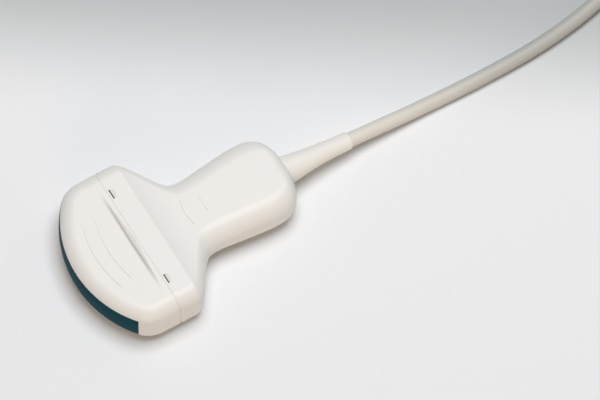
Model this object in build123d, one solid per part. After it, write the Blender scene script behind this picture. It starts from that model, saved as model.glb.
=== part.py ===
from build123d import *
import math
import os

os.makedirs("parts", exist_ok=True)

# Convex ultrasound probe with its cable and system connector, in millimetres.
# X runs across the probe, Y from the lens towards the cable, Z is up. Stations along Y are counted from the
# front of the head, and everything is moved at the end so that the origin is under the middle of the probe.

# Head and handle
head_width = 72.6
head_thickness = 22.0
head_edge_radius = 6.5
array_radius = 50.5
nose_front_thickness = 20.0
nose_corner_radius = 13.0
nose_length = 29.3
shoulder_length = 7.8
collar_length = 9.8
neck_length = 17.8
neck_hollow = 3.2
waist_width = 34.0
waist_thickness = 18.0
grip_length = 29.7
grip_width = 38.0
grip_thickness = 20.0
grip_edge_radius = 8.5
rear_length = 14.0
rear_corner_radius = 12.0
rear_edge_radius = 4.5
wall = 2.8
rest_flat = 0.05
fit = 0.05

# Moulded details of the housing
tongue_length = 4.0
tongue_share = 0.6
seal_thickness = 0.8
lip_height = 1.2
seam_gap_width = 0.15
seam_gap_depth = 0.25
groove_offset = 3.4
groove_half_length = 25.0
groove_width = 3.0
groove_wall = 1.0
groove_depth = 1.0
notch_length = 4.6
notch_width = 2.2
notch_depth = 1.6
notch_slit = 0.7
notch_ramp = 0.5
notch_x = 22.6
notch_setback = 1.0
line_width = 0.5
line_depth = 0.3
nose_lines = [(10.0, 51.5, 19.0), (16.0, 51.5, 16.5)]
handle_lines = [(52.8, 20.0, 18.0), (61.3, 13.0, 15.5)]
marker_length = 9.0
marker_width = 2.0
marker_depth = 0.8

# Acoustic stack behind the lens
lens_height = 12.2
lens_half_angle = 39.5
lens_thickness = 2.6
lens_crown = 0.2
bond_gap = 0.05
stack_half_angle = 38.0
stack_height = 9.0
outer_layer = 0.35
inner_layer = 0.3
element_thickness = 0.55
element_count = 48
element_kerf = 0.12
flex_thickness = 0.2
backing_back_y = 21.0
backing_half_width = 28.0
spreader_thickness = 2.0
spreader_tongue_width = 18.0
spreader_tongue_height = 3.0

# Interconnect board and what hangs on it
board_start_y = 41.3
board_length = 40.0
board_width = 23.0
board_thickness = 1.2
board_slot_depth = 4.0
header_width = 20.0
header_length = 6.0
header_height = 2.0
header_offset = 7.0
coax_header_offset = 30.0
coax_header_height = 1.6
flex_tail_width = 20.0
liner_gap = 0.3
liner_sheet = 0.3
liner_start_y = 49.3

# Cable, boot and clamp
cable_diameter = 6.3
cable_start_y = 85.0
clamp_width = 19.0
clamp_length = 5.5
clamp_gap = 0.3
clamp_screw_offset = 6.5
boot_length = 31.0
boot_base_diameter = 13.4
boot_end_diameter = 7.6
boot_neck_radius = 4.6
boot_flange_radius = 5.4
boot_flange_thickness = 2.0

# Coil of put-away cable and its two ties
coil_mean_radius = 35.0
coil_turns_across = 4
coil_layers = 2
tie_thickness = 0.8
tie_angle = 14.0
coil_x = 6.6
coil_y = 328.8

# System connector
connector_x = -8.0
connector_y = 427.3
connector_depth = 44.0
connector_width = 62.0
connector_height = 33.0
connector_edge_radius = 6.0
connector_wall = 2.5
frame_plate_thickness = 3.0
shroud_width = 50.0
shroud_height = 20.0
shroud_length = 10.0
shroud_wall = 1.2
block_length = 16.0
pin_radius = 0.5
pin_pitch = 2.5
pin_columns = 5
pin_rows = 6
pin_reach = 0.6
lock_radius = 3.0
lock_clearance = 0.05
lock_bar_length = 12.0
lock_bar_width = 3.0
lock_bar_gap = 1.2
knob_radius = 13.0
knob_disc = 6.0
knob_grip = 8.0
knob_grip_width = 8.0
knob_gap = 0.6
clip_radius = 5.0
clip_thickness = 1.2
screw_radius = 1.25
screw_head_radius = 2.4
screw_head_height = 2.0
screw_boss_radius = 3.0
connector_boot_length = 16.0
connector_entry_offset = -6.0

# Stations along the probe and heights that follow from the sizes above
mid_z = head_thickness / 2 - rest_flat
top_z = mid_z + head_thickness / 2
seam_y = nose_length
shoulder_y = seam_y + shoulder_length
crease_y = seam_y + collar_length
waist_y = crease_y + neck_length
grip_y = waist_y + grip_length
body_length = grip_y + rear_length
cable_radius = cable_diameter / 2
tongue_inset = wall * tongue_share


def eased(start, end, t):
    """Value that goes smoothly from start to end while t goes from 0 to 1."""
    t = min(max(t, 0.0), 1.0)
    return start + (end - start) * (1 - math.cos(math.pi * t)) / 2


def corner_drop(radius, reach):
    """How far a rounded corner has fallen back, this far into its rounding."""
    if reach <= 0:
        return 0.0
    return radius - math.sqrt(max(radius**2 - reach**2, 0.0))


def half_width(y):
    """Half of the body's width at a station."""
    if y <= waist_y:
        return eased(head_width, waist_width, (y - shoulder_y) / (waist_y - shoulder_y)) / 2
    return eased(waist_width, grip_width, (y - waist_y) / grip_length) / 2


def half_thickness(y):
    """Half of the body's thickness: flat collar, a crease, a neck that hollows at once, a fuller grip."""
    if y <= crease_y:
        return head_thickness / 2
    if y <= waist_y:
        fall = 1 - (max(waist_y - y, 0.0) / neck_length) ** neck_hollow
        return (head_thickness + (waist_thickness - head_thickness) * fall) / 2
    return eased(waist_thickness, grip_thickness, (y - waist_y) / grip_length) / 2


def cross_plane(y, z=mid_z):
    """Plane across the body at a station, with its drawing's up along +Z."""
    return Plane(origin=(0, y, z), x_dir=(1, 0, 0), z_dir=(0, -1, 0))


def section(y, inset):
    """Rounded rectangle across the handle at a station, drawn in by inset all round."""
    wide = half_width(y) - inset
    wide -= corner_drop(rear_corner_radius - inset, y - (body_length - rear_corner_radius))
    high = half_thickness(y) - inset
    high -= corner_drop(rear_edge_radius - inset, y - (body_length - rear_edge_radius))
    radius = eased(head_edge_radius, grip_edge_radius, (y - crease_y) / neck_length) - inset
    radius = min(radius, 0.93 * high, 0.93 * wide)
    return cross_plane(y) * RectangleRounded(2 * wide, 2 * high, radius)


def stations(start, end, count):
    return [start + (end - start) * i / count for i in range(count)]


def handle_solid(inset):
    """The handle's outer form, or its hollow when drawn in: collar, then neck, grip and rounded rear."""
    collar = stations(seam_y, shoulder_y, 5) + stations(shoulder_y, crease_y, 4) + [crease_y]
    turn_start = body_length - rear_corner_radius
    turn = [turn_start + (rear_corner_radius - inset) * math.sin(math.pi / 12 * i) for i in range(7)]
    neck = stations(crease_y, waist_y, 8) + stations(waist_y, turn_start, 4) + turn
    return loft([section(y, inset) for y in collar]) + loft([section(y, inset) for y in neck])


def nose_half_thickness(y):
    """Half of the nose's thickness, which tapers evenly towards the lens."""
    return (nose_front_thickness + (head_thickness - nose_front_thickness) * y / nose_length) / 2


def nose_solid(inset):
    """The nose's outer form, or its hollow when drawn in."""
    outline = Pos(0, nose_length / 2) * Rectangle(head_width - 2 * inset, nose_length)
    outline = outline & Pos(0, array_radius) * Circle(array_radius - inset)
    outline = fillet(outline.vertices().group_by(Axis.Y)[0], nose_corner_radius - inset)
    back = nose_half_thickness(nose_length) - inset
    front = nose_half_thickness(0) - inset
    side = Plane.YZ * Polygon(
        (0, mid_z - front),
        (nose_length, mid_z - back),
        (nose_length, mid_z + back),
        (0, mid_z + front),
        align=None,
    )
    block = extrude(outline, 2 * head_thickness, both=True) & extrude(side, head_width, both=True)
    faces = block.faces().sort_by(Axis.Z)
    rims = [e for f in (faces[0], faces[-1]) for e in f.edges() if e.center().Y < nose_length - 0.01]
    return fillet(rims, head_edge_radius - inset)


def slab(low, high, start=-10.0, end=None, half=head_width):
    """Block between two heights, used to keep part of a form."""
    end = body_length + 10 if end is None else end
    return Pos(0, (start + end) / 2, (low + high) / 2) * Box(2 * half, end - start, high - low)


def ring_sector(centre_y, inner, outer, half_angle, low, high, turn=0.0):
    """Curved block about a vertical axis on the centre line, open towards -Y."""
    reach = 2 * outer
    pie = Polygon(
        (0, 0),
        (-reach * math.sin(math.radians(half_angle)), -reach * math.cos(math.radians(half_angle))),
        (reach * math.sin(math.radians(half_angle)), -reach * math.cos(math.radians(half_angle))),
        align=None,
    )
    face = (Circle(outer) - Circle(inner)) & pie
    return Pos(0, centre_y, low) * Rot(0, 0, turn) * extrude(face, high - low)


def moulded_line(start, radius, half_angle):
    """Cutter for a fine arc on the upper face, from its foremost station and its radius."""
    half = line_width / 2
    return ring_sector(start + radius, radius - half, radius + half, half_angle, mid_z, top_z + 1)


def along_y(radius, start, end, x=0.0, z=mid_z):
    """Round bar along Y between two stations."""
    return Pos(x, (start + end) / 2, z) * Rot(90, 0, 0) * Cylinder(radius, end - start)


def both_faces(cutter):
    """A cutter and its mirror image, for the upper and the lower face of the body."""
    return [cutter, mirror(cutter, Plane.XY.offset(mid_z))]


# Nose shell: hollow, with a window for the lens, a rebate for the handle's tongue, a groove in front of the
# seam that fades out at both ends, two fine moulded arcs on top and a slot on one side to tell it by touch
nose_outer = nose_solid(0)
nose_shell = nose_outer - nose_solid(wall)
window_angle = lens_half_angle + math.degrees(bond_gap / array_radius)
window_half = lens_height / 2 + bond_gap
nose_shell -= ring_sector(
    array_radius, array_radius - 8, array_radius + 5, window_angle, mid_z - window_half, mid_z + window_half
)
rebate_depth = tongue_length + seal_thickness
nose_shell -= extrude(section(seam_y, tongue_inset), rebate_depth)
groove_y = seam_y - groove_offset
groove_side = Plane.YZ * Polygon(
    (groove_y, 0), (groove_y + groove_wall, -groove_depth), (groove_y + groove_width, 0), align=None
)
groove_tilt = math.degrees(math.atan2(groove_depth, groove_half_length))
groove_bar = Rot(0, -groove_tilt, 0) * extrude(groove_side, 2 * groove_half_length, both=True)
groove_room = slab(-head_thickness, head_thickness)
groove_bar &= groove_room & Pos(head_width, 0, 0) * groove_room
groove_half = Pos(0, 0, top_z) * groove_bar
for half in (groove_half, mirror(groove_half, Plane.YZ)):
    for cutter in both_faces(half):
        nose_shell -= cutter
nose_skin = nose_solid(line_depth)
for start, radius, half_angle in nose_lines:
    nose_shell -= moulded_line(start, radius, half_angle) - nose_skin
marker_y = seam_y - tongue_length - marker_length / 2
nose_shell -= Pos(-head_width / 2, marker_y, mid_z) * Box(2 * marker_depth, marker_length, marker_width)
nose_shell &= slab(0, 2 * head_thickness)

# Seal ring in the bottom of the rebate
seal_ring = section(seam_y, tongue_inset + fit) - section(seam_y, wall)
nose_seal = Pos(0, -tongue_length, 0) * extrude(seal_ring, seal_thickness)

# Handle shells: one hollow form with a tongue into the nose and a fine shadow gap round its front edge,
# split at mid height with a lip on the lower half
handle_outer = handle_solid(0)
handle_hollow = handle_solid(wall)
handle = handle_outer - handle_hollow + extrude(seal_ring, tongue_length)
notch_y = seam_y + notch_setback
for x in (-notch_x, notch_x):
    notch_plan = Pos(x, notch_y, mid_z) * Cylinder(notch_length / 2, 3 * head_thickness)
    notch_side = Plane.YZ * Polygon(
        (notch_y, top_z - notch_depth),
        (notch_y + notch_slit, top_z - notch_depth),
        (notch_y + notch_slit, top_z - notch_ramp),
        (notch_y + notch_width, top_z),
        (notch_y + notch_width, top_z + 2),
        (notch_y, top_z + 2),
        align=None,
    )
    notch = Pos(x, 0, 0) * extrude(notch_side, notch_length, both=True) & notch_plan
    for cutter in both_faces(notch):
        handle -= cutter
handle -= extrude(section(seam_y, -fit) - section(seam_y, seam_gap_depth), -seam_gap_width)
handle_skin = handle_solid(line_depth)
for start, radius, half_angle in handle_lines:
    handle -= moulded_line(start, radius, half_angle) - handle_skin
handle -= along_y(boot_neck_radius + fit, body_length - 3 * wall, body_length + 5)
handle_upper_shell = handle & slab(mid_z, 2 * head_thickness)
handle_lower_shell = handle & slab(0, mid_z)
lip_room = slab(mid_z, mid_z + lip_height + fit, start=seam_y - 1, end=body_length - 2 * wall)
lip_band = slab(mid_z, mid_z + lip_height, start=seam_y - 1, end=body_length - 2 * wall - fit)
handle_upper_shell -= (handle_solid(tongue_inset) - handle_hollow) & lip_room
handle_lower_shell += (handle_solid(tongue_inset + fit) - handle_hollow) & lip_band

# Acoustic lens: a curved strip, crowned in height so that its edges meet the rounded front of the nose
lens_half = lens_height / 2
front_half = nose_front_thickness / 2
edge_setback = corner_drop(head_edge_radius, lens_half - (front_half - head_edge_radius))
lens_arc = ThreePointArc(
    (edge_setback, -lens_half),
    (-lens_crown, 0),
    (edge_setback, lens_half),
)
lens_rest = Polyline(
    (edge_setback, lens_half),
    (lens_thickness, lens_half),
    (lens_thickness, -lens_half),
    (edge_setback, -lens_half),
)
lens_plane = Plane(origin=(0, 0, mid_z), x_dir=(0, 1, 0), z_dir=(1, 0, 0))
lens_face = lens_plane * make_face([lens_arc, lens_rest])
array_axis = Axis((0, array_radius, 0), (0, 0, 1))
acoustic_lens = revolve(lens_face, array_axis, 2 * lens_half_angle).rotate(array_axis, -lens_half_angle)

# Matching layers, diced array and flex face, each curved about the same axis
stack_low = mid_z - stack_height / 2
stack_high = mid_z + stack_height / 2
radius_1 = array_radius - lens_thickness
radius_2 = radius_1 - outer_layer
radius_3 = radius_2 - inner_layer
radius_4 = radius_3 - element_thickness
radius_5 = radius_4 - flex_thickness
outer_matching_layer = ring_sector(array_radius, radius_2, radius_1, stack_half_angle, stack_low, stack_high)
inner_matching_layer = ring_sector(array_radius, radius_3, radius_2, stack_half_angle, stack_low, stack_high)
element_step = 2 * stack_half_angle / element_count
kerf_angle = math.degrees(element_kerf / radius_3)
piezo_array = [
    ring_sector(
        array_radius,
        radius_4,
        radius_3,
        (element_step - kerf_angle) / 2,
        stack_low,
        stack_high,
        turn=-stack_half_angle + element_step * (i + 0.5),
    )
    for i in range(element_count)
]

# Backing block behind the array, and the aluminium spreader that carries it and grips the board
backing_half = stack_height / 2 - flex_thickness
backing_wide = 2 * backing_half_width
backing_block = Pos(0, backing_back_y / 2, mid_z) * Box(backing_wide, backing_back_y, 2 * backing_half)
backing_block &= Pos(0, array_radius, mid_z) * Cylinder(radius_5, head_thickness)
spreader_y = backing_back_y + spreader_thickness
heat_spreader = Pos(0, backing_back_y + spreader_thickness / 2, mid_z) * Box(
    backing_wide, spreader_thickness, 2 * backing_half - 0.6
)
tongue_end_y = board_start_y + board_slot_depth
heat_spreader += Pos(0, (spreader_y + tongue_end_y) / 2, mid_z) * Box(
    spreader_tongue_width, tongue_end_y - spreader_y, spreader_tongue_height
)
board_mid_y = board_start_y + board_length / 2
interconnect_board = Pos(0, board_mid_y, mid_z) * Box(board_width, board_length, board_thickness)
heat_spreader -= interconnect_board

# Board connectors: a pair for the flex circuits and a pair for the coax ribbons
board_half = board_thickness / 2
header_y = board_start_y + header_offset
coax_y = board_start_y + coax_header_offset
board_connectors = []
for side in (1, -1):
    header_z = mid_z + side * (board_half + header_height / 2)
    coax_z = mid_z + side * (board_half + coax_header_height / 2)
    board_connectors.append(
        Pos(0, header_y + header_length / 2, header_z) * Box(header_width, header_length, header_height)
    )
    board_connectors.append(
        Pos(0, coax_y + header_length / 2, coax_z) * Box(header_width, header_length, coax_header_height)
    )

# Flex circuits: a curved tab behind half of the array, then a sheet over the backing and down to the header
flex_top = stack_height / 2
flex_tail = board_half + header_height
flex_end_y = header_y + header_length
flex_side = lens_plane * Polygon(
    (0, flex_top - flex_thickness),
    (spreader_y + 4, flex_top - flex_thickness),
    (header_y, flex_tail),
    (flex_end_y, flex_tail),
    (flex_end_y, flex_tail + flex_thickness),
    (header_y, flex_tail + flex_thickness),
    (spreader_y + 4, flex_top),
    (0, flex_top),
    align=None,
)
flex_plan = Polygon(
    (-backing_half_width, 0),
    (-backing_half_width, backing_back_y),
    (-flex_tail_width / 2, header_y - 1),
    (-flex_tail_width / 2, flex_end_y),
    (flex_tail_width / 2, flex_end_y),
    (flex_tail_width / 2, header_y - 1),
    (backing_half_width, backing_back_y),
    (backing_half_width, 0),
    align=None,
)
flex_sheet = extrude(flex_side, head_width, both=True) & extrude(flex_plan, 2 * head_thickness, both=True)
flex_sheet &= Pos(0, array_radius, mid_z) * Cylinder(radius_4, 2 * head_thickness)
flex_tab = ring_sector(array_radius, radius_5, radius_4, stack_half_angle, mid_z + fit, stack_high)
upper_flex_circuit = flex_sheet + flex_tab
lower_flex_circuit = mirror(upper_flex_circuit, Plane.XY.offset(mid_z))

# Shield liner: thin copper sleeve that follows the inside of the handle
liner_end_y = cable_start_y
liner = handle_solid(wall + liner_gap) - handle_solid(wall + liner_gap + liner_sheet)
shield_liner = liner & slab(-head_thickness, 2 * head_thickness, start=liner_start_y, end=liner_end_y)

# Coax fan-out: two flat ribbons that gather from the board into the end of the cable
ribbon_start_y = coax_y + header_length
coax_fanout = []
for side in (1, -1):
    wide_end = cross_plane(ribbon_start_y, mid_z + side * (board_half + coax_header_height / 2)) * Rectangle(
        0.9 * header_width, 0.7 * coax_header_height
    )
    narrow_end = cross_plane(cable_start_y, mid_z + side * 0.38 * cable_radius) * Rectangle(
        1.3 * cable_radius, 0.5 * cable_radius
    )
    coax_fanout.append(loft([wide_end, narrow_end]))


def bend_radii(points):
    """Radius of each bend of a route, so that its arcs nearly meet on every run."""
    radii = []
    for before, here, after in zip(points, points[1:], points[2:]):
        run_in = Vector(*here) - Vector(*before)
        run_out = Vector(*after) - Vector(*here)
        half_turn = math.radians(run_in.get_angle(run_out)) / 2
        radii.append(0.45 * min(run_in.length, run_out.length) / math.tan(half_turn))
    return radii


def cord_path(points):
    """Straight runs joined by tangent arcs."""
    return FilletPolyline(*points, radius=bend_radii(points))


def cord_tube(path):
    """Round cord along a path."""
    return sweep(Plane(origin=path @ 0, z_dir=path % 0) * Circle(cable_radius), path=path)


# Cable from the clamp, through the boot and down to the surface, then away to the coil
floor_z = cable_radius
coil_floor = tie_thickness
cable_route = [
    (0, cable_start_y, mid_z),
    (0, 109, mid_z),
    (0, 137, mid_z - 3.6),
    (0.3, 166, floor_z),
    (1.3, 198, floor_z),
    (0.4, 229, floor_z),
    (-5, 259, floor_z),
    (-15.6, 285, floor_z + tie_thickness / 2),
    (-29.8, 306, floor_z + tie_thickness),
]
cable_path = cord_path(cable_route)
cable_whole = cord_tube(cable_path)

# Coil: the outer shape of the wound turns, four across and two high, standing on its ties
coil_inner = coil_mean_radius - coil_turns_across * cable_radius
coil_outer = coil_mean_radius + coil_turns_across * cable_radius
coil_height = coil_layers * cable_diameter
coil_axis = Axis((coil_x, coil_y, 0), (0, 0, 1))
coil_plane = Plane(origin=(coil_x, coil_y, coil_floor), x_dir=(0, 1, 0), z_dir=(1, 0, 0))


def coil_profile(grow):
    """Section of the coil, grown all round for what wraps it."""
    wide = coil_outer - coil_inner + 2 * grow
    high = coil_height + 2 * grow
    corner = 0.9 * cable_radius + grow
    return coil_plane * Pos(coil_mean_radius, coil_height / 2) * RectangleRounded(wide, high, corner)


cable_coil = revolve(coil_profile(0), coil_axis, 360)
cable_run = (cable_whole - cable_coil).solids().sort_by(SortBy.VOLUME)[-1]
tie_band = coil_profile(tie_thickness) - coil_profile(0)
tie = revolve(tie_band, coil_axis, tie_angle)
coil_ties = [tie.rotate(coil_axis, turn - tie_angle / 2) for turn in (0, 180)]

# Boot: flexible, bent with the cable, with a neck through the rear wall and a flange inside it
boot_start = body_length - cable_start_y - 1.5
boot_run = boot_length + 1.5
boot_rings = []
for i in range(7):
    share = i / 6
    reach = boot_start + boot_run * share
    diameter = boot_end_diameter + (boot_base_diameter - boot_end_diameter) * (1 - share) ** 2
    here = cable_path.position_at(reach, position_mode=PositionMode.LENGTH)
    heading = cable_path.tangent_at(reach, position_mode=PositionMode.LENGTH)
    boot_rings.append(Plane(origin=here, x_dir=(1, 0, 0), z_dir=heading) * Circle(diameter / 2))
rear_wall_y = body_length - wall
strain_relief_boot = loft(boot_rings) - handle_outer
strain_relief_boot += along_y(boot_neck_radius, rear_wall_y, body_length + 1)
strain_relief_boot += along_y(boot_flange_radius, rear_wall_y - boot_flange_thickness, rear_wall_y)
strain_relief_boot -= cable_whole

# Cable clamp: two halves closed on the cable by two screws
clamp_half = grip_thickness / 2 - wall - clamp_gap
clamp_mid_y = grip_y + clamp_length / 2
clamp = Pos(0, clamp_mid_y, mid_z) * Box(clamp_width, clamp_length, 2 * clamp_half) - cable_whole
clamp_screws = []
for x in (-clamp_screw_offset, clamp_screw_offset):
    shank = Pos(x, clamp_mid_y, mid_z) * Cylinder(1.0, 2 * clamp_half - 2)
    head = Pos(x, clamp_mid_y, mid_z + clamp_half - 0.7) * Cylinder(1.9, 1.4)
    head -= Pos(x, clamp_mid_y, mid_z + clamp_half) * Box(2.6, 0.5, 1.0)
    clamp_screws.append(shank + head)
    clamp -= Pos(x, clamp_mid_y, mid_z) * Cylinder(1.0, 2 * clamp_half - 2)
    clamp -= Pos(x, clamp_mid_y, mid_z + clamp_half - 0.7) * Cylinder(1.9, 1.4)
cable_clamp_upper = clamp & slab(mid_z, 2 * head_thickness)
cable_clamp_lower = clamp & slab(-head_thickness, mid_z)

# System connector, lying flat beyond the coil: lock axis along X, contacts at +X, cable entry at -Y
plug = Pos(connector_x, connector_y, 0)
plug_mid = connector_height / 2
plug_back = -connector_depth / 2
plug_front = connector_depth / 2
plug_side = connector_width / 2


def along_x(radius, start, end, y=0.0):
    """Round bar along X in the connector, on its lock axis."""
    return Pos((start + end) / 2, y, plug_mid) * Rot(0, 90, 0) * Cylinder(radius, end - start)


def plug_box(start, end, wide, high):
    """Block across the connector between two depths, centred on its lock axis."""
    return Pos((start + end) / 2, 0, plug_mid) * Box(end - start, wide, high)


shell_outer = plug_box(plug_back, plug_front, connector_width, connector_height)
shell_outer = fillet(shell_outer.edges().filter_by(Axis.X), connector_edge_radius)
shell_outer = fillet(shell_outer.faces().sort_by(Axis.X)[0].edges(), 0.4 * connector_edge_radius)
hollow_wide = connector_width - 2 * connector_wall
hollow_high = connector_height - 2 * connector_wall
shell_hollow = plug_box(plug_back + connector_wall, plug_front, hollow_wide, hollow_high)
shell_hollow = fillet(shell_hollow.edges().filter_by(Axis.X), connector_edge_radius - connector_wall)
shell = shell_outer - shell_hollow
screw_spots = [(x, y) for x in (-14, 9) for y in (-25, 25)]
for x, y in screw_spots:
    shell += (Pos(x, y, plug_mid) * Cylinder(screw_boss_radius, connector_height)) & shell_hollow
screw_tip = plug_mid + 6
screw_seat = connector_wall
connector_screws = []
for x, y in screw_spots:
    shank = Pos(x, y, (screw_seat + screw_tip) / 2) * Cylinder(screw_radius, screw_tip - screw_seat)
    head = Pos(x, y, screw_seat - screw_head_height / 2) * Cylinder(screw_head_radius, screw_head_height)
    shell -= shank
    shell -= Pos(x, y, screw_seat / 2) * Cylinder(screw_head_radius, screw_seat)
    slot = Pos(x, y, screw_seat - screw_head_height) * Box(3.2, 0.6, 1.2)
    connector_screws.append(plug * (shank + head - slot))
shell -= along_x(lock_radius + lock_clearance, plug_back - 1, plug_back + 2 * connector_wall)
entry_x = connector_entry_offset
entry_end = -plug_side + 2 * connector_wall
shell -= along_y(boot_neck_radius + fit, -plug_side - 1, entry_end, x=entry_x, z=plug_mid)
upper_half = Pos(0, 0, plug_mid + connector_height) * Box(200, 200, 2 * connector_height)
lower_half = Pos(0, 0, plug_mid - connector_height) * Box(200, 200, 2 * connector_height)
connector_upper_shell = plug * (shell & upper_half)
connector_lower_shell = plug * (shell & lower_half)

# Contact frame: metal plate in the mouth of the shells with a shroud round the contacts
plate_start = plug_front - frame_plate_thickness
plate = plug_box(plate_start, plug_front, hollow_wide - 2 * fit, hollow_high - 2 * fit)
plate = fillet(plate.edges().filter_by(Axis.X), connector_edge_radius - connector_wall)
shroud_end = plug_front + shroud_length
shroud = plug_box(plug_front, shroud_end, shroud_width, shroud_height)
shroud = fillet(shroud.edges().filter_by(Axis.X), 2.5)
mouth_wide = shroud_width - 2 * shroud_wall
mouth_high = shroud_height - 2 * shroud_wall
mouth = plug_box(plate_start - 1, shroud_end + 1, mouth_wide, mouth_high)
contact_frame = plug * (plate + shroud - mouth)

# Contact block with two groups of pins, one each side of the lock shaft, soldered to a board behind it
block_end = shroud_end
block_start = block_end - block_length
pins = []
for group in (-1, 1):
    for column in range(pin_columns):
        for row in range(pin_rows):
            y = group * (9 + pin_pitch * column)
            z = pin_pitch * (row - (pin_rows - 1) / 2)
            pin = along_x(pin_radius, block_start, block_end + pin_reach, y)
            pins.append(Pos(0, 0, z) * pin)
block = plug_box(block_start, block_end, mouth_wide, mouth_high)
block -= along_x(lock_radius + 0.4, block_start - 1, block_end + 1)
contact_block = plug * (block - pins)
contact_pins = [plug * pin for pin in pins]
board_start = block_start - board_thickness
connector_board = plug_box(board_start, block_start, mouth_wide - 1, mouth_high - 1)
connector_board = plug * (connector_board - along_x(lock_radius + 0.6, board_start - 1, block_start + 1))

# Twist lock: knob outside the back wall, shaft through the connector, cross bar at the front, clip inside
knob_start = plug_back - knob_gap
shaft_start = knob_start - knob_disc
shaft_end = shroud_end + lock_bar_gap + lock_bar_width
shaft = along_x(lock_radius, shaft_start, shaft_end)
lock_bar = Box(lock_bar_width, lock_bar_length, lock_bar_width)
shaft += Pos(shaft_end - lock_bar_width / 2, 0, plug_mid) * lock_bar
knob = along_x(knob_radius, knob_start - knob_disc, knob_start)
knob = fillet(knob.edges().group_by(Axis.X)[0], 1.5)
grip_start = knob_start - knob_disc - knob_grip
grip = plug_box(grip_start, knob_start - knob_disc + 1, 2 * knob_radius - 4, knob_grip_width)
grip = fillet(grip.edges().filter_by(Axis.X), 0.45 * knob_grip_width)
lock_knob = plug * (knob + grip - shaft)
lock_shaft = plug * shaft
clip_start = plug_back + connector_wall + 0.3
clip = along_x(clip_radius, clip_start, clip_start + clip_thickness) - shaft
lock_clip = plug * clip

# Tail of the cable from the top of the coil into the connector, its boot and the wires inside
entry_y = connector_y - plug_side
entry = connector_x + entry_x
tail_end_y = entry_y + 6
tail_low = coil_floor + coil_height - cable_radius
tail_high = coil_floor + coil_height + cable_radius + fit
coil_exit_x = coil_x - coil_outer + cable_radius
tail_bend_y = coil_y + 16
tail_route = [
    (coil_exit_x, tail_bend_y - 30, tail_low),
    (coil_exit_x, tail_bend_y, tail_high),
    (entry, tail_bend_y + entry - coil_exit_x, plug_mid),
    (entry, tail_end_y, plug_mid),
]
tail_path = cord_path(tail_route)
tail_whole = cord_tube(tail_path)
cable_tail = (tail_whole - cable_coil).solids().sort_by(SortBy.VOLUME)[-1]
boot_tip_y = entry_y - connector_boot_length
boot_cone = loft(
    [
        cross_plane(entry_y, plug_mid) * Pos(entry, 0) * Circle(boot_base_diameter / 2),
        cross_plane(boot_tip_y, plug_mid) * Pos(entry, 0) * Circle(boot_end_diameter / 2),
    ]
)
inner_wall_y = entry_y + connector_wall
connector_boot = boot_cone + along_y(boot_neck_radius, entry_y, inner_wall_y, x=entry, z=plug_mid)
connector_boot += along_y(
    boot_flange_radius, inner_wall_y, inner_wall_y + boot_flange_thickness, x=entry, z=plug_mid
)
connector_boot -= tail_whole
wire_start = (entry, tail_end_y, plug_mid)
wire_end = (connector_x + board_start, connector_y - 13, plug_mid)
wire_path = FilletPolyline(
    wire_start, (entry, tail_end_y + 8, plug_mid), (entry + 6, wire_end[1], plug_mid), wire_end, radius=4
)
connector_wires = sweep(Plane(origin=wire_path @ 0, z_dir=wire_path % 0) * Circle(1.8), path=wire_path)

probe = {
    "acoustic_lens": acoustic_lens,
    "outer_matching_layer": outer_matching_layer,
    "inner_matching_layer": inner_matching_layer,
    "piezo_array": piezo_array,
    "backing_block": backing_block,
    "heat_spreader": heat_spreader,
    "upper_flex_circuit": upper_flex_circuit,
    "lower_flex_circuit": lower_flex_circuit,
    "nose_shell": nose_shell,
    "nose_seal": nose_seal,
    "handle_upper_shell": handle_upper_shell,
    "handle_lower_shell": handle_lower_shell,
    "shield_liner": shield_liner,
    "interconnect_board": interconnect_board,
    "board_connectors": board_connectors,
    "coax_fanout": coax_fanout,
    "cable_clamp_upper": cable_clamp_upper,
    "cable_clamp_lower": cable_clamp_lower,
    "clamp_screws": clamp_screws,
    "strain_relief_boot": strain_relief_boot,
}
cord = {
    "cable_run": cable_run,
    "cable_coil": cable_coil,
    "coil_ties": coil_ties,
    "cable_tail": cable_tail,
    "connector_upper_shell": connector_upper_shell,
    "connector_lower_shell": connector_lower_shell,
    "connector_boot": connector_boot,
    "connector_screws": connector_screws,
    "contact_frame": contact_frame,
    "contact_block": contact_block,
    "contact_pins": contact_pins,
    "connector_board": connector_board,
    "connector_wires": connector_wires,
    "lock_knob": lock_knob,
    "lock_shaft": lock_shaft,
    "lock_clip": lock_clip,
}

# The origin is on the floor, under the middle of the probe's own length
front_y = acoustic_lens.bounding_box().min.Y
back_y = strain_relief_boot.bounding_box().max.Y
origin_y = (front_y + back_y) / 2
for name, shape in {**probe, **cord}.items():
    pieces = shape if isinstance(shape, list) else [shape]
    solids = [Pos(0, -origin_y, 0) * solid for piece in pieces for solid in piece.solids()]
    export_step(solids[0] if len(solids) == 1 else Compound(children=solids), f"parts/{name}.step")
    print(name, len(solids), "solids", round(sum(s.volume for s in solids), 1), "mm3")
print("origin at station", round(origin_y, 3), "front", round(front_y, 3), "back", round(back_y, 3))
print("bend radii", [round(r, 1) for r in bend_radii(cable_route) + bend_radii(tail_route)])
for name, whole, path in [("run", cable_whole, cable_path), ("tail", tail_whole, tail_path)]:
    expected = math.pi * cable_radius**2 * path.length
    print("cable", name, round(path.length, 1), "mm, volume share", round(whole.volume / expected, 4))
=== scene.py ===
# %% [markdown]
# # A convex ultrasound probe
#
# The probe lies flat on a white surface: a wide head with a dark silicone lens, a slim handle, a soft boot
# and a pale cable. The hard parts arrive finished from the CAD model, in metres, with the origin on the
# floor under the middle of the probe. This script adds what is soft or fine: the cable's smooth line, the
# fabric ties round its coil, and a finish for every part.

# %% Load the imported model
import math

import bmesh
import bpy
from mathutils import Matrix, Vector


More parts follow.
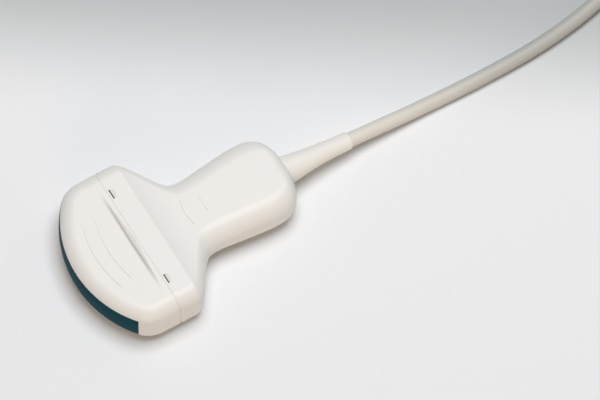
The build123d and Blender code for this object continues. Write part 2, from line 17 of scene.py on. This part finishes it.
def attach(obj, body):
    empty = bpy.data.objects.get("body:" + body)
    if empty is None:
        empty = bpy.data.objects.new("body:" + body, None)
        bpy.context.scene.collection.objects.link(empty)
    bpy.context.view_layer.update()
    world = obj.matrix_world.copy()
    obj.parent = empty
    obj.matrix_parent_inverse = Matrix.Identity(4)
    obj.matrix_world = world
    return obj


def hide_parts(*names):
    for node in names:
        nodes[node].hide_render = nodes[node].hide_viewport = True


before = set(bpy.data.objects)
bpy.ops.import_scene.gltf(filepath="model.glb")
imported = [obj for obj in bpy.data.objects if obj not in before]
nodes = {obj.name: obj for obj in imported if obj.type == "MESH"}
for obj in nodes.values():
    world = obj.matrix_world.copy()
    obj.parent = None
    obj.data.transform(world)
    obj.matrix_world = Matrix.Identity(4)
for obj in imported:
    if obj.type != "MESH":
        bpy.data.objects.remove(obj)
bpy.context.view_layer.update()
scene = bpy.context.scene
MM = 0.001

# %% [markdown]
# ## Camera
#
# The picture was taken from high above the head's near side. Nothing in it converges much, so the lens is
# long and the camera stands far off. The view is given as an azimuth and an elevation, the three axes of
# the camera follow from them, and a matrix with those axes as columns puts the camera in place without any
# tracking constraint.

# %% Camera
view_azimuth = math.radians(59.5)
view_elevation = math.radians(64.0)
lens_length = 1000.0
frame_width = 250 * MM
aim = Vector((15.3, 33.4, 12.0)) * MM

back = Vector(
    (
        math.sin(view_azimuth) * math.cos(view_elevation),
        -math.cos(view_azimuth) * math.cos(view_elevation),
        math.sin(view_elevation),
    )
)
right = Vector((math.cos(view_azimuth), math.sin(view_azimuth), 0))
upward = back.cross(right)

camera_data = bpy.data.cameras.new("long_lens")
camera_data.lens = lens_length
camera_data.sensor_width = 36
camera = bpy.data.objects.new("camera", camera_data)
distance = frame_width * lens_length / camera_data.sensor_width
axes = Matrix((right, upward, back)).transposed().to_4x4()
camera.matrix_world = Matrix.Translation(aim + back * distance) @ axes
scene.collection.objects.link(camera)
scene.camera = camera
print("camera stands", round(distance, 3), "m from the probe")

# %% [markdown]
# ## Cable
#
# The real cable is a bundle of hair-fine coaxial wires in a soft jacket, about 6 mm thick and two metres
# long. It leaves the boot in line with the handle, comes down to the surface and runs away in a lazy curve.
# The rest is put away in a coil. A NURBS spline of order 3 is the natural line for it: the route's corners
# are its control points and it rounds each one by itself. The coil is more points of the same spline,
# worked out turn by turn: four turns inwards on the surface, then four outwards on top of them.

# %% Route of the cable
origin_station = 65.872
cable_radius = 3.15
coil_centre = (6.6, 328.8)
outer_turn_radius = 44.45
lower_turn_height = 3.95
turns_per_layer = 4
points_per_turn = 20
start_angle = 212.0
ease_share = 0.34

run_route = [
    (0, 85, 10.95),
    (0, 109, 10.95),
    (0, 137, 7.35),
    (0.3, 166, 3.15),
    (1.3, 198, 3.15),
    (0.4, 229, 3.15),
    (-5, 259, 3.15),
    (-15.6, 285, 3.55),
    (-29.8, 306, 3.95),
]
tail_route = [(-37.85, 314.8, 10.25), (-37.85, 344.8, 16.6), (-14, 368.65, 16.5), (-14, 402.3, 16.5)]


def turn_value(values, turn, share):
    """A turn keeps its value, then eases to the next turn's over its last share."""
    following = values[min(turn + 1, len(values) - 1)]
    ease = max(0.0, (share - (1 - ease_share)) / ease_share)
    ease = ease * ease * (3 - 2 * ease)
    return values[turn] + (following - values[turn]) * ease


inward_radii = [outer_turn_radius - 2 * cable_radius * turn for turn in range(turns_per_layer)]
turn_radii = inward_radii + inward_radii[::-1]
upper_turn_height = lower_turn_height + 2 * cable_radius
turn_heights = [lower_turn_height] * turns_per_layer + [upper_turn_height] * turns_per_layer
coil_route = []
for step in range(1, points_per_turn * len(turn_radii)):
    turn, count = divmod(step, points_per_turn)
    share = count / points_per_turn
    angle = math.radians(start_angle - 360 * step / points_per_turn)
    radius = turn_value(turn_radii, turn, share)
    height = turn_value(turn_heights, turn, share)
    coil_route.append(
        (coil_centre[0] + radius * math.cos(angle), coil_centre[1] + radius * math.sin(angle), height)
    )
route = [Vector((x, y - origin_station, z)) * MM for x, y, z in run_route + coil_route + tail_route]
print("cable route has", len(route), "points")

# %% Cable as one spline
cable_curve = bpy.data.curves.new("cable", "CURVE")
cable_curve.dimensions = "3D"
# With a bevel one metre deep, a point's radius is the cable's own radius
cable_curve.bevel_depth = 1.0
cable_curve.bevel_resolution = 5
cable_curve.resolution_u = 8
cable_curve.use_fill_caps = True
spline = cable_curve.splines.new("NURBS")
spline.points.add(len(route) - 1)
for point, place in zip(spline.points, route):
    point.co = (*place, 1)
    point.radius = cable_radius * MM
spline.order_u = 3
spline.use_endpoint_u = True
cable = bpy.data.objects.new("cable", cable_curve)
scene.collection.objects.link(cable)
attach(cable, "probe")
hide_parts("cable_run", "cable_coil", "cable_tail")
print("cable is", round(spline.calc_length(), 3), "m long")

# %% [markdown]
# ## Ties
#
# Two ties of hook-and-loop tape hold the coil. Each is a strip of woven tape wrapped once round the bundle,
# with its end pressed down on its own start. A box with a hole would not show the overlap, so the strip is
# drawn as a line that follows a rounded rectangle, a little further out where it covers itself, and the
# tape's own section is carried along that line. The UV map runs along and across the tape in millimetres,
# which is what a weave needs.

# %% Line of a tie round the bundle
bundle_half_width = 12.6
bundle_half_height = 6.3
bundle_corner = 2.8
bundle_middle = (35.0, 7.1)
tape_thickness = 0.7
tape_width = 8.5
flat_shares = (0, 0.25, 0.5, 0.75)
corner_steps = 8
overlap_climb = 0.35
end_reaches = (1.2, 2.2)


def bundle_outline(offset):
    """Points and outward directions round the bundle's section, from the middle of its top, at an offset."""
    radius = bundle_corner + offset
    straight_x = bundle_half_width - bundle_corner
    straight_z = bundle_half_height - bundle_corner
    top = straight_z + radius
    line = [(share * straight_x, top, 90.0) for share in flat_shares]
    for corner_x, corner_z, first in [(1, 1, 90), (1, -1, 0), (-1, -1, -90), (-1, 1, -180)]:
        for step in range(corner_steps + 1):
            turn = math.radians(first - 90 * step / corner_steps)
            x = corner_x * straight_x + radius * math.cos(turn)
            z = corner_z * straight_z + radius * math.sin(turn)
            line.append((x, z, math.degrees(turn)))
    return line + [(-share * straight_x, top, 90.0) for share in flat_shares[:0:-1]]


def tie_line():
    """The tape's middle line: once round, then over its own start."""
    inner = bundle_outline(tape_thickness / 2)
    outer = bundle_outline(1.5 * tape_thickness)
    climb = (0.0, inner[0][1] + overlap_climb * tape_thickness, 90.0)
    flat = outer[1 : len(flat_shares)]
    last_x, top, heading = flat[-1]
    return inner + [climb] + flat + [(last_x + reach, top, heading) for reach in end_reaches]


def on_tie(side, step, across, out):
    """Place at a step of the line of one of the ties, so far across the tape and so far outwards."""
    reach, height, heading = step
    outward = Vector((0, side * math.cos(math.radians(heading)), math.sin(math.radians(heading))))
    middle = Vector((coil_centre[0], coil_centre[1] - origin_station, bundle_middle[1] + height))
    return (middle + Vector((across, side * (bundle_middle[0] + reach), 0)) + outward * out) * MM


print("tie line has", len(tie_line()), "points")

# %% Tape along the line
tie_mesh = bpy.data.meshes.new("coil_tie_tapes")
tie_shape = bmesh.new()
tape_uv = tie_shape.loops.layers.uv.new("tape")
section_across = [-0.5, -0.47, 0.47, 0.5, 0.47, -0.47]
section_out = [0.0, 0.5, 0.5, 0.0, -0.5, -0.5]
corner_count = len(section_across)
for side in (1, -1):
    run = 0.0
    rings = []
    before = None
    for step in tie_line():
        middle = on_tie(side, step, 0, 0)
        run += (middle - before).length / MM if before else 0.0
        before = middle
        ring = []
        for across, out in zip(section_across, section_out):
            ring.append(tie_shape.verts.new(on_tie(side, step, across * tape_width, out * tape_thickness)))
        rings.append((run, ring))
    for (run_a, ring_a), (run_b, ring_b) in zip(rings, rings[1:]):
        for i in range(corner_count):
            j = (i + 1) % corner_count
            face = tie_shape.faces.new((ring_a[i], ring_a[j], ring_b[j], ring_b[i]))
            face.smooth = True
            corners = [(run_a, i), (run_a, j), (run_b, j), (run_b, i)]
            for loop, (along, corner) in zip(face.loops, corners):
                loop[tape_uv].uv = (along, section_across[corner] * tape_width)
    tie_shape.faces.new(rings[0][1])
    tie_shape.faces.new(list(reversed(rings[-1][1])))
bmesh.ops.recalc_face_normals(tie_shape, faces=tie_shape.faces)
tie_shape.to_mesh(tie_mesh)
tie_shape.free()
coil_ties = bpy.data.objects.new("coil_tie_tapes", tie_mesh)
scene.collection.objects.link(coil_ties)
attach(coil_ties, "probe")
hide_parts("coil_ties")
print("ties have", len(tie_mesh.polygons), "faces")

# %% [markdown]
# ## Finishes
#
# Every finish is a Principled shader with a little life in it: a slow change of tone, a change of gloss,
# and a fine grain as bump. Colours are written as they look on a screen and turned to the linear values
# that the shader works with. One small helper adds a node, sets its values and links its inputs. Sizes are
# given in millimetres and turned to texture scales, because the model is in metres. Many real grains are
# too fine for the picture, so they are drawn at 0.2 to 0.8 mm. A Mix node for colours has its factor at
# input 0 and its two colours at 6 and 7.


# %% Helpers for finishes
tone_size = 14.0


def linear(text):
    """Linear colour of an sRGB hex value."""
    values = [int(text[i : i + 2], 16) / 255 for i in (1, 3, 5)]
    return (*[v / 12.92 if v <= 0.04045 else ((v + 0.055) / 1.055) ** 2.4 for v in values], 1)


def add(tree, kind, inputs=None, **settings):
    """A node with its settings, and with its inputs set or linked."""
    node = tree.nodes.new(kind)
    for name, value in settings.items():
        setattr(node, name, value)
    for socket, value in (inputs or {}).items():
        if isinstance(value, bpy.types.NodeSocket):
            tree.links.new(value, node.inputs[socket])
        else:
            node.inputs[socket].default_value = value
    return node


def per_mm(size):
    """Texture scale that gives features of this size in millimetres."""
    return 1 / (size * MM)


def finish(name, tones, gloss, grain, depth, metallic=0.0, ior=1.5, shine=0.5):
    """Shader that drifts between two tones and two roughnesses, with a grain of a size and depth in mm."""
    material = bpy.data.materials.new(name)
    material.use_nodes = True
    tree = material.node_tree
    shader = tree.nodes["Principled BSDF"]
    shader.inputs["Metallic"].default_value = metallic
    # A metal keeps the default IOR
    if not metallic:
        shader.inputs["IOR"].default_value = ior
        shader.inputs["Specular IOR Level"].default_value = shine
    place = add(tree, "ShaderNodeTexCoord").outputs["Object"]
    cloud = add(tree, "ShaderNodeTexNoise", {"Vector": place, "Scale": per_mm(tone_size), "Detail": 3.0})
    tone = add(
        tree,
        "ShaderNodeMix",
        {0: cloud.outputs["Fac"], 6: linear(tones[0]), 7: linear(tones[1])},
        data_type="RGBA",
    )
    tree.links.new(tone.outputs[2], shader.inputs["Base Color"])
    rough = add(
        tree,
        "ShaderNodeMapRange",
        {"Value": cloud.outputs["Fac"], "To Min": gloss[0], "To Max": gloss[1]},
    )
    tree.links.new(rough.outputs["Result"], shader.inputs["Roughness"])
    speck = add(tree, "ShaderNodeTexNoise", {"Vector": place, "Scale": per_mm(grain), "Detail": 2.0})
    bump = add(
        tree,
        "ShaderNodeBump",
        {"Height": speck.outputs["Fac"], "Strength": 1.0, "Distance": depth * MM},
    )
    tree.links.new(bump.outputs["Normal"], shader.inputs["Normal"])
    return material


def band(tree, value, middle, half, soft):
    """One close to a middle value, in millimetres, fading to nothing over a soft edge."""
    offset = add(tree, "ShaderNodeMath", {0: value, 1: middle * MM}, operation="SUBTRACT")
    distance = add(tree, "ShaderNodeMath", {0: offset.outputs[0]}, operation="ABSOLUTE")
    limits = {"Value": distance.outputs[0], "From Min": (half + soft) * MM, "From Max": half * MM}
    return add(tree, "ShaderNodeMapRange", limits, interpolation_type="SMOOTHSTEP").outputs["Result"]


def paint_shade(material, tone, bands):
    """Painted shade: a darker tone where all the bands meet, each with its axis, middle, half width and soft
    edge in mm.
    """
    tree = material.node_tree
    colour = tree.nodes["Principled BSDF"].inputs["Base Color"]
    place = add(tree, "ShaderNodeTexCoord").outputs["Object"]
    along = add(tree, "ShaderNodeSeparateXYZ", {0: place}).outputs
    mask = 1.0
    for axis, middle, half, soft in bands:
        near = band(tree, along[axis], middle, half, soft)
        mask = add(tree, "ShaderNodeMath", {0: near, 1: mask}, operation="MULTIPLY").outputs[0]
    below = colour.links[0].from_socket
    both = add(tree, "ShaderNodeMix", {0: mask, 6: below, 7: linear(tone)}, data_type="RGBA")
    tree.links.new(both.outputs[2], colour)


def dress(material, *names):
    """Gives one material to CAD nodes."""
    for name in names:
        mesh = nodes[name].data
        mesh.materials.clear()
        mesh.materials.append(material)
    print(material.name, "on", ", ".join(names))


print("tones drift over", tone_size, "mm")

# %% [markdown]
# ## Housing
#
# Nose and handle are moulded ABS, off-white and slightly warm. The tool was spark-eroded, which leaves an
# even satin grain: highlights are broad and soft. The real grain is about 0.1 mm and would vanish at this
# distance, so it is drawn at 0.5 mm. The bottoms of the groove on the nose and of the two slits behind it
# get painted shade: a greyer tone, drawn where soft bands along the axes meet.

# %% Housing finish
housing_tones = ("#E4E1DB", "#E7E4DF")
housing_gloss = (0.40, 0.50)
housing_grain = 0.5
housing_depth = 0.006
# Painted shade at the bottom of the two slits
slit_painted_shade = "#8F8C86"
slit_x = 22.6
slit_y = 30.65 - origin_station
middle_z = 10.95
slit_half = (2.1, 0.3, 10.0)
slit_soft = (0.3, 0.25, 0.6)
# Painted shade at the bottom of the groove on the nose
groove_painted_shade = "#C3C0BA"
groove_y = 26.57 - origin_station
groove_half = (10, 0.3)
groove_soft = (19, 0.75)

# Satin ABS: off-white with a broad soft highlight, and painted shade at the bottom of the slits
moulded_abs = finish("satin_moulded_abs", housing_tones, housing_gloss, housing_grain, housing_depth)
for x in (-slit_x, slit_x):
    paint_shade(moulded_abs, slit_painted_shade, zip("XYZ", (x, slit_y, middle_z), slit_half, slit_soft))
dress(moulded_abs, "handle_upper_shell", "handle_lower_shell")
dress(moulded_abs, "connector_upper_shell", "connector_lower_shell")

# The same ABS on the nose, with painted shade at the bottom of the groove, fading out towards its ends
nose_abs = finish("satin_moulded_abs_nose", housing_tones, housing_gloss, housing_grain, housing_depth)
paint_shade(nose_abs, groove_painted_shade, zip("XY", (0, groove_y), groove_half, groove_soft))
dress(nose_abs, "nose_shell")

# %% [markdown]
# ## Lens, boot and cable jacket
#
# The lens is cast silicone, dark teal and smooth, with hardly any sheen. Boot and jacket are a soft
# thermoplastic: close to the housing's colour, a touch greyer, with a finer skin. The jacket has painted
# shade away from the probe: a darker tone comes in along its run.

# %% Lens, boot and jacket finishes
# Cast silicone: deep teal, smooth, and nearly without a highlight
cast_silicone = finish(
    "cast_silicone", ("#0A424F", "#0D4754"), (0.42, 0.50), grain=0.8, depth=0.003, ior=1.41, shine=0.035
)
dress(cast_silicone, "acoustic_lens")
# Soft thermoplastic: warm off-white with a dull skin
soft_boot = finish("moulded_soft_thermoplastic", ("#E8E4DC", "#EBE7E0"), (0.48, 0.56), grain=0.4, depth=0.005)
dress(soft_boot, "strain_relief_boot", "connector_boot")
# Extruded jacket: cream at the probe, with painted shade along a stretch of its run further away
shaded_run_middle = 300
shaded_run_half = 140
shaded_run_fade = 95
cable_jacket = finish("extruded_cable_jacket", ("#DAD5C9", "#DED9CF"), (0.46, 0.56), grain=0.5, depth=0.006)
paint_shade(cable_jacket, "#B3B2AB", [("Y", shaded_run_middle, shaded_run_half, shaded_run_fade)])
cable_curve.materials.append(cable_jacket)
print(cable_jacket.name, "on the cable")

# %% [markdown]
# ## Parts inside the head and handle
#
# Behind the lens are two ground resin layers, a row of fired ceramic elements, a cast backing and an
# aluminium spreader. The handle holds a copper liner, a board, its connectors and the gathered wires.

# %% Finishes inside the head
# Ground epoxy: chalky and even, without a highlight
dress(
    finish("ground_epoxy", ("#B3A998", "#BDB4A4"), (0.5, 0.6), grain=0.3, depth=0.004),
    "outer_matching_layer",
    "inner_matching_layer",
)
# Fired ceramic: cream, dry and finely rough
dress(
    finish("fired_piezo_ceramic", ("#D8CDB4", "#E0D6BF"), (0.55, 0.7), grain=0.2, depth=0.004),
    "piezo_array",
)
# Cast filled epoxy: nearly black, dull and slightly pitted
dress(
    finish("cast_filled_epoxy", ("#2C2C2E", "#353537"), (0.55, 0.7), grain=0.6, depth=0.01),
    "backing_block",
)
# Milled aluminium: pale, with a soft broad gleam
dress(
    finish("milled_aluminium", ("#C9CACC", "#D3D4D6"), (0.32, 0.42), grain=0.3, depth=0.003, metallic=1.0),
    "heat_spreader",
)
# Polyimide film: amber, smooth and shiny
dress(
    finish("polyimide_film", ("#C2832C", "#CC8E36"), (0.25, 0.35), grain=0.4, depth=0.002, ior=1.7),
    "upper_flex_circuit",
    "lower_flex_circuit",
)
# Moulded rubber: light grey and matt
dress(
    finish("moulded_seal_rubber", ("#C8C6C0", "#CECCC6"), (0.6, 0.7), grain=0.4, depth=0.005),
    "nose_seal",
)

# %% Finishes inside the handle
# Bare copper sheet: warm metal, lightly scuffed
dress(
    finish("bare_copper_sheet", ("#D9916A", "#E29C77"), (0.28, 0.4), grain=0.5, depth=0.004, metallic=1.0),
    "shield_liner",
)
# Laminate under solder mask: deep green with a slight gloss
dress(
    finish("solder_mask_laminate", ("#1D5B38", "#226440"), (0.3, 0.4), grain=0.5, depth=0.004),
    "interconnect_board",
    "connector_board",
)
# Connector resin: dark satin
dress(
    finish("moulded_connector_resin", ("#232325", "#2A2A2C"), (0.45, 0.55), grain=0.4, depth=0.005),
    "board_connectors",
    "contact_block",
)
# Fine coaxial wire: grey strands that break up the highlight
dress(
    finish("fine_coax_wire", ("#9EA2AC", "#A8ACB6"), (0.4, 0.5), grain=0.3, depth=0.01),
    "coax_fanout",
    "connector_wires",
)
# Glass-filled nylon: dark grey with a dull, speckled skin
dress(
    finish("glass_filled_nylon", ("#55575B", "#5D5F63"), (0.5, 0.6), grain=0.4, depth=0.008),
    "cable_clamp_upper",
    "cable_clamp_lower",
)

# %% [markdown]
# ## Metal and resin of the connector
#
# The connector's contact frame is plated die-cast metal, its pins are gold-plated, and the knob of the lock
# is moulded in a darker grey so that the hand finds it.

# %% Finishes of the connector
# Turned steel: mid grey with a tight gleam
dress(
    finish("turned_steel", ("#B9BABC", "#C3C4C6"), (0.25, 0.36), grain=0.3, depth=0.002, metallic=1.0),
    "clamp_screws",
    "connector_screws",
    "lock_shaft",
    "lock_clip",
)
# Plated casting: paler than the steel, with a softer gleam
dress(
    finish("plated_die_casting", ("#BFC0C2", "#C9CACC"), (0.3, 0.42), grain=0.5, depth=0.004, metallic=1.0),
    "contact_frame",
)
# Gold plate: warm and bright
dress(
    finish("gold_plated_contact", ("#E6C878", "#EED086"), (0.2, 0.3), grain=0.3, depth=0.002, metallic=1.0),
    "contact_pins",
)
# Knob resin: darker grey satin that stands out from the shells
dress(
    finish("moulded_knob_resin", ("#565C62", "#5E646A"), (0.45, 0.55), grain=0.5, depth=0.008),
    "lock_knob",
)

# %% [markdown]
# ## Woven tape
#
# Hook-and-loop tape has a plain weave on its back. Two wave textures at right angles, both on the tape's
# own UV map in millimetres, give warp and weft. Real threads lie about 0.3 mm apart and would not show, so
# they are drawn at 0.6 mm. Woven polyester is dark and matt, with a slight sheen at its edges.

# %% Tape finish
thread_spacing = 0.6
thread_scale = 1 / (2 * thread_spacing)
woven_tape = bpy.data.materials.new("woven_polyester_tape")
woven_tape.use_nodes = True
tree = woven_tape.node_tree
shader = tree.nodes["Principled BSDF"]
shader.inputs["Roughness"].default_value = 0.85
shader.inputs["Sheen Weight"].default_value = 0.3
along = add(tree, "ShaderNodeUVMap", uv_map="tape").outputs["UV"]
warp = add(tree, "ShaderNodeTexWave", {"Vector": along, "Scale": thread_scale}, bands_direction="X")
weft = add(tree, "ShaderNodeTexWave", {"Vector": along, "Scale": thread_scale}, bands_direction="Y")
weave = add(tree, "ShaderNodeMath", {0: warp.outputs["Fac"], 1: weft.outputs["Fac"]}, operation="MULTIPLY")
tone = add(
    tree,
    "ShaderNodeMix",
    {0: weave.outputs["Value"], 6: linear("#3C3F44"), 7: linear("#565A60")},
    data_type="RGBA",
)
tree.links.new(tone.outputs[2], shader.inputs["Base Color"])
bump = add(tree, "ShaderNodeBump", {"Height": weave.outputs["Value"], "Strength": 0.8, "Distance": 0.1 * MM})
tree.links.new(bump.outputs["Normal"], shader.inputs["Normal"])
tie_mesh.materials.append(woven_tape)
print(woven_tape.name, "on the ties")

# %% [markdown]
# ## Stitches
#
# A row of stitches keeps each edge of the tape from fraying. They repeat along a path, so Geometry Nodes
# sets them: the path is a bare line of edges on the tape's outer face, the tree puts points on it at one
# pitch and a short piece of thread on each point. The start of the tape lies under its own end, so the path
# begins past it.

# %% Path of the stitches
edge_inset = 1.1
stitch_sink = 0.045
covered_steps = 5
path_places = []
path_edges = []
for side in (1, -1):
    for edge in (1, -1):
        for count, step in enumerate(tie_line()[covered_steps:]):
            if count:
                path_edges.append((len(path_places) - 1, len(path_places)))
            across = edge * (tape_width / 2 - edge_inset)
            path_places.append(on_tie(side, step, across, tape_thickness / 2 - stitch_sink))
path_mesh = bpy.data.meshes.new("stitch_path")
path_mesh.from_pydata(path_places, path_edges, [])
stitch_path = bpy.data.objects.new("stitch_path", path_mesh)
scene.collection.objects.link(stitch_path)
print("stitch path has", len(path_edges), "edges")

# %% Tree that sets the stitches
stitch_tree = bpy.data.node_groups.new("stitches_along_path", "GeometryNodeTree")
for name, kind in [
    ("Path", "NodeSocketGeometry"),
    ("Pitch", "NodeSocketFloat"),
    ("Stitch length", "NodeSocketFloat"),
    ("Thread radius", "NodeSocketFloat"),
    ("Thread", "NodeSocketMaterial"),
]:
    stitch_tree.interface.new_socket(name, in_out="INPUT", socket_type=kind)
stitch_tree.interface.new_socket("Stitches", in_out="OUTPUT", socket_type="NodeSocketGeometry")
given = add(stitch_tree, "NodeGroupInput").outputs
line = add(stitch_tree, "GeometryNodeMeshToCurve", {"Mesh": given["Path"]})
spots = add(
    stitch_tree,
    "GeometryNodeCurveToPoints",
    {"Curve": line.outputs["Curve"], "Length": given["Pitch"]},
    mode="LENGTH",
)
thread = add(
    stitch_tree,
    "GeometryNodeMeshCylinder",
    {"Vertices": 8, "Radius": given["Thread radius"], "Depth": given["Stitch length"]},
)
row = add(
    stitch_tree,
    "GeometryNodeInstanceOnPoints",
    {
        "Points": spots.outputs["Points"],
        "Instance": thread.outputs["Mesh"],
        "Rotation": spots.outputs["Rotation"],
    },
)
real = add(stitch_tree, "GeometryNodeRealizeInstances", {"Geometry": row.outputs["Instances"]})
sewn = add(stitch_tree, "GeometryNodeSetMaterial", {"Geometry": real.outputs[0], "Material": given["Thread"]})
add(stitch_tree, "NodeGroupOutput", {"Stitches": sewn.outputs["Geometry"]})
print("stitch tree has", len(stitch_tree.nodes), "nodes")

# %% Stitches as a plain mesh
# Spun polyester thread: matt, a little paler than the tape
sewing_thread = finish("spun_polyester_thread", ("#6A6E75", "#747880"), (0.7, 0.8), grain=0.2, depth=0.02)
sewing = stitch_path.modifiers.new("stitches", "NODES")
sewing.node_group = stitch_tree
for name, value in [
    ("Pitch", 1.7 * MM),
    ("Stitch length", 1.2 * MM),
    ("Thread radius", 0.11 * MM),
    ("Thread", sewing_thread),
]:
    sewing[stitch_tree.interface.items_tree[name].identifier] = value
sewn_path = stitch_path.evaluated_get(bpy.context.evaluated_depsgraph_get())
stitch_mesh = bpy.data.meshes.new_from_object(sewn_path)
bpy.data.objects.remove(stitch_path)
tie_stitches = bpy.data.objects.new("coil_tie_stitches", stitch_mesh)
scene.collection.objects.link(tie_stitches)
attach(tie_stitches, "probe")
print("stitches have", len(stitch_mesh.polygons), "faces")

# %% [markdown]

# %% [markdown]
# ## Surface and light
#
# The surface is a plain white sweep that falls into a pale shade towards the top of the picture. The shade
# is painted shade: a slow change of the surface's colour along one direction, away from the camera. The
# shadows in the picture are short and tight, and deepest in front of the lens and under the near side, so
# the main lamp is a soft box overhead, a little behind the head. The near sides are warmer than the top, as
# if a warm wall threw light back at them. A sun lamp with a wide angle, low on that side, does that and
# hardly lights the surface. A dim room fills the rest.

# %% Floor
floor_half = 2.0
floor_tone = "#EAEAEA"
shade_tone = "#B7BAB9"
shade_start = 46
shade_end = 118
shade_skew = 0.06

floor_mesh = bpy.data.meshes.new("floor")
floor_corners = [(-floor_half, -floor_half, 0), (floor_half, -floor_half, 0), (floor_half, floor_half, 0)]
floor_mesh.from_pydata(floor_corners + [(-floor_half, floor_half, 0)], [], [(0, 1, 2, 3)])
floor = bpy.data.objects.new("floor", floor_mesh)
scene.collection.objects.link(floor)
# Matt paper sweep: white, with no highlight of its own, and painted shade further from the camera
sweep = bpy.data.materials.new("matt_white_sweep")
sweep.use_nodes = True
tree = sweep.node_tree
shader = tree.nodes["Principled BSDF"]
shader.inputs["Roughness"].default_value = 0.9
shader.inputs["Specular IOR Level"].default_value = 0.2
place = add(tree, "ShaderNodeTexCoord").outputs["Object"]
# Painted shade: the floor's colour darkens along the direction away from the camera
away = Vector((-right.y, right.x, 0)) + shade_skew * right
depth = add(tree, "ShaderNodeVectorMath", {0: place, 1: away}, operation="DOT_PRODUCT")
shade = add(
    tree,
    "ShaderNodeMapRange",
    {"Value": depth.outputs["Value"], "From Min": shade_start * MM, "From Max": shade_end * MM},
    interpolation_type="SMOOTHSTEP",
)
tone = add(
    tree,
    "ShaderNodeMix",
    {0: shade.outputs["Result"], 6: linear(floor_tone), 7: linear(shade_tone)},
    data_type="RGBA",
)
tree.links.new(tone.outputs[2], shader.inputs["Base Color"])
floor_mesh.materials.append(sweep)
print("floor is", 2 * floor_half, "m wide")

# %% Lamps and world
soft_box = bpy.data.lights.new("soft_box", "AREA")
soft_box.shape = "DISK"
soft_box.size = 0.9
soft_box.energy = 17.5
soft_box.color = linear("#F7FAFF")[:3]
warm_wall = bpy.data.lights.new("warm_wall", "SUN")
warm_wall.angle = math.radians(37)
warm_wall.energy = 0.95
warm_wall.color = linear("#FFE2C0")[:3]
lamp_stands = [(soft_box, (-0.06, 0.16, 1.4)), (warm_wall, (1.0, -0.6, 0.2))]
for lamp_data, stand in lamp_stands:
    lamp = bpy.data.objects.new(lamp_data.name, lamp_data)
    facing = Vector(stand).to_track_quat("Z", "Y").to_matrix().to_4x4()
    lamp.matrix_world = Matrix.Translation(stand) @ facing
    scene.collection.objects.link(lamp)
    print("lamp", lamp.name, "stands at", stand)
world = bpy.data.worlds.new("dim_room")
world.use_nodes = True
background = world.node_tree.nodes["Background"]
background.inputs["Color"].default_value = linear("#FFFAF2")
background.inputs["Strength"].default_value = 0.20
scene.world = world
scene.view_settings.view_transform = "Standard"
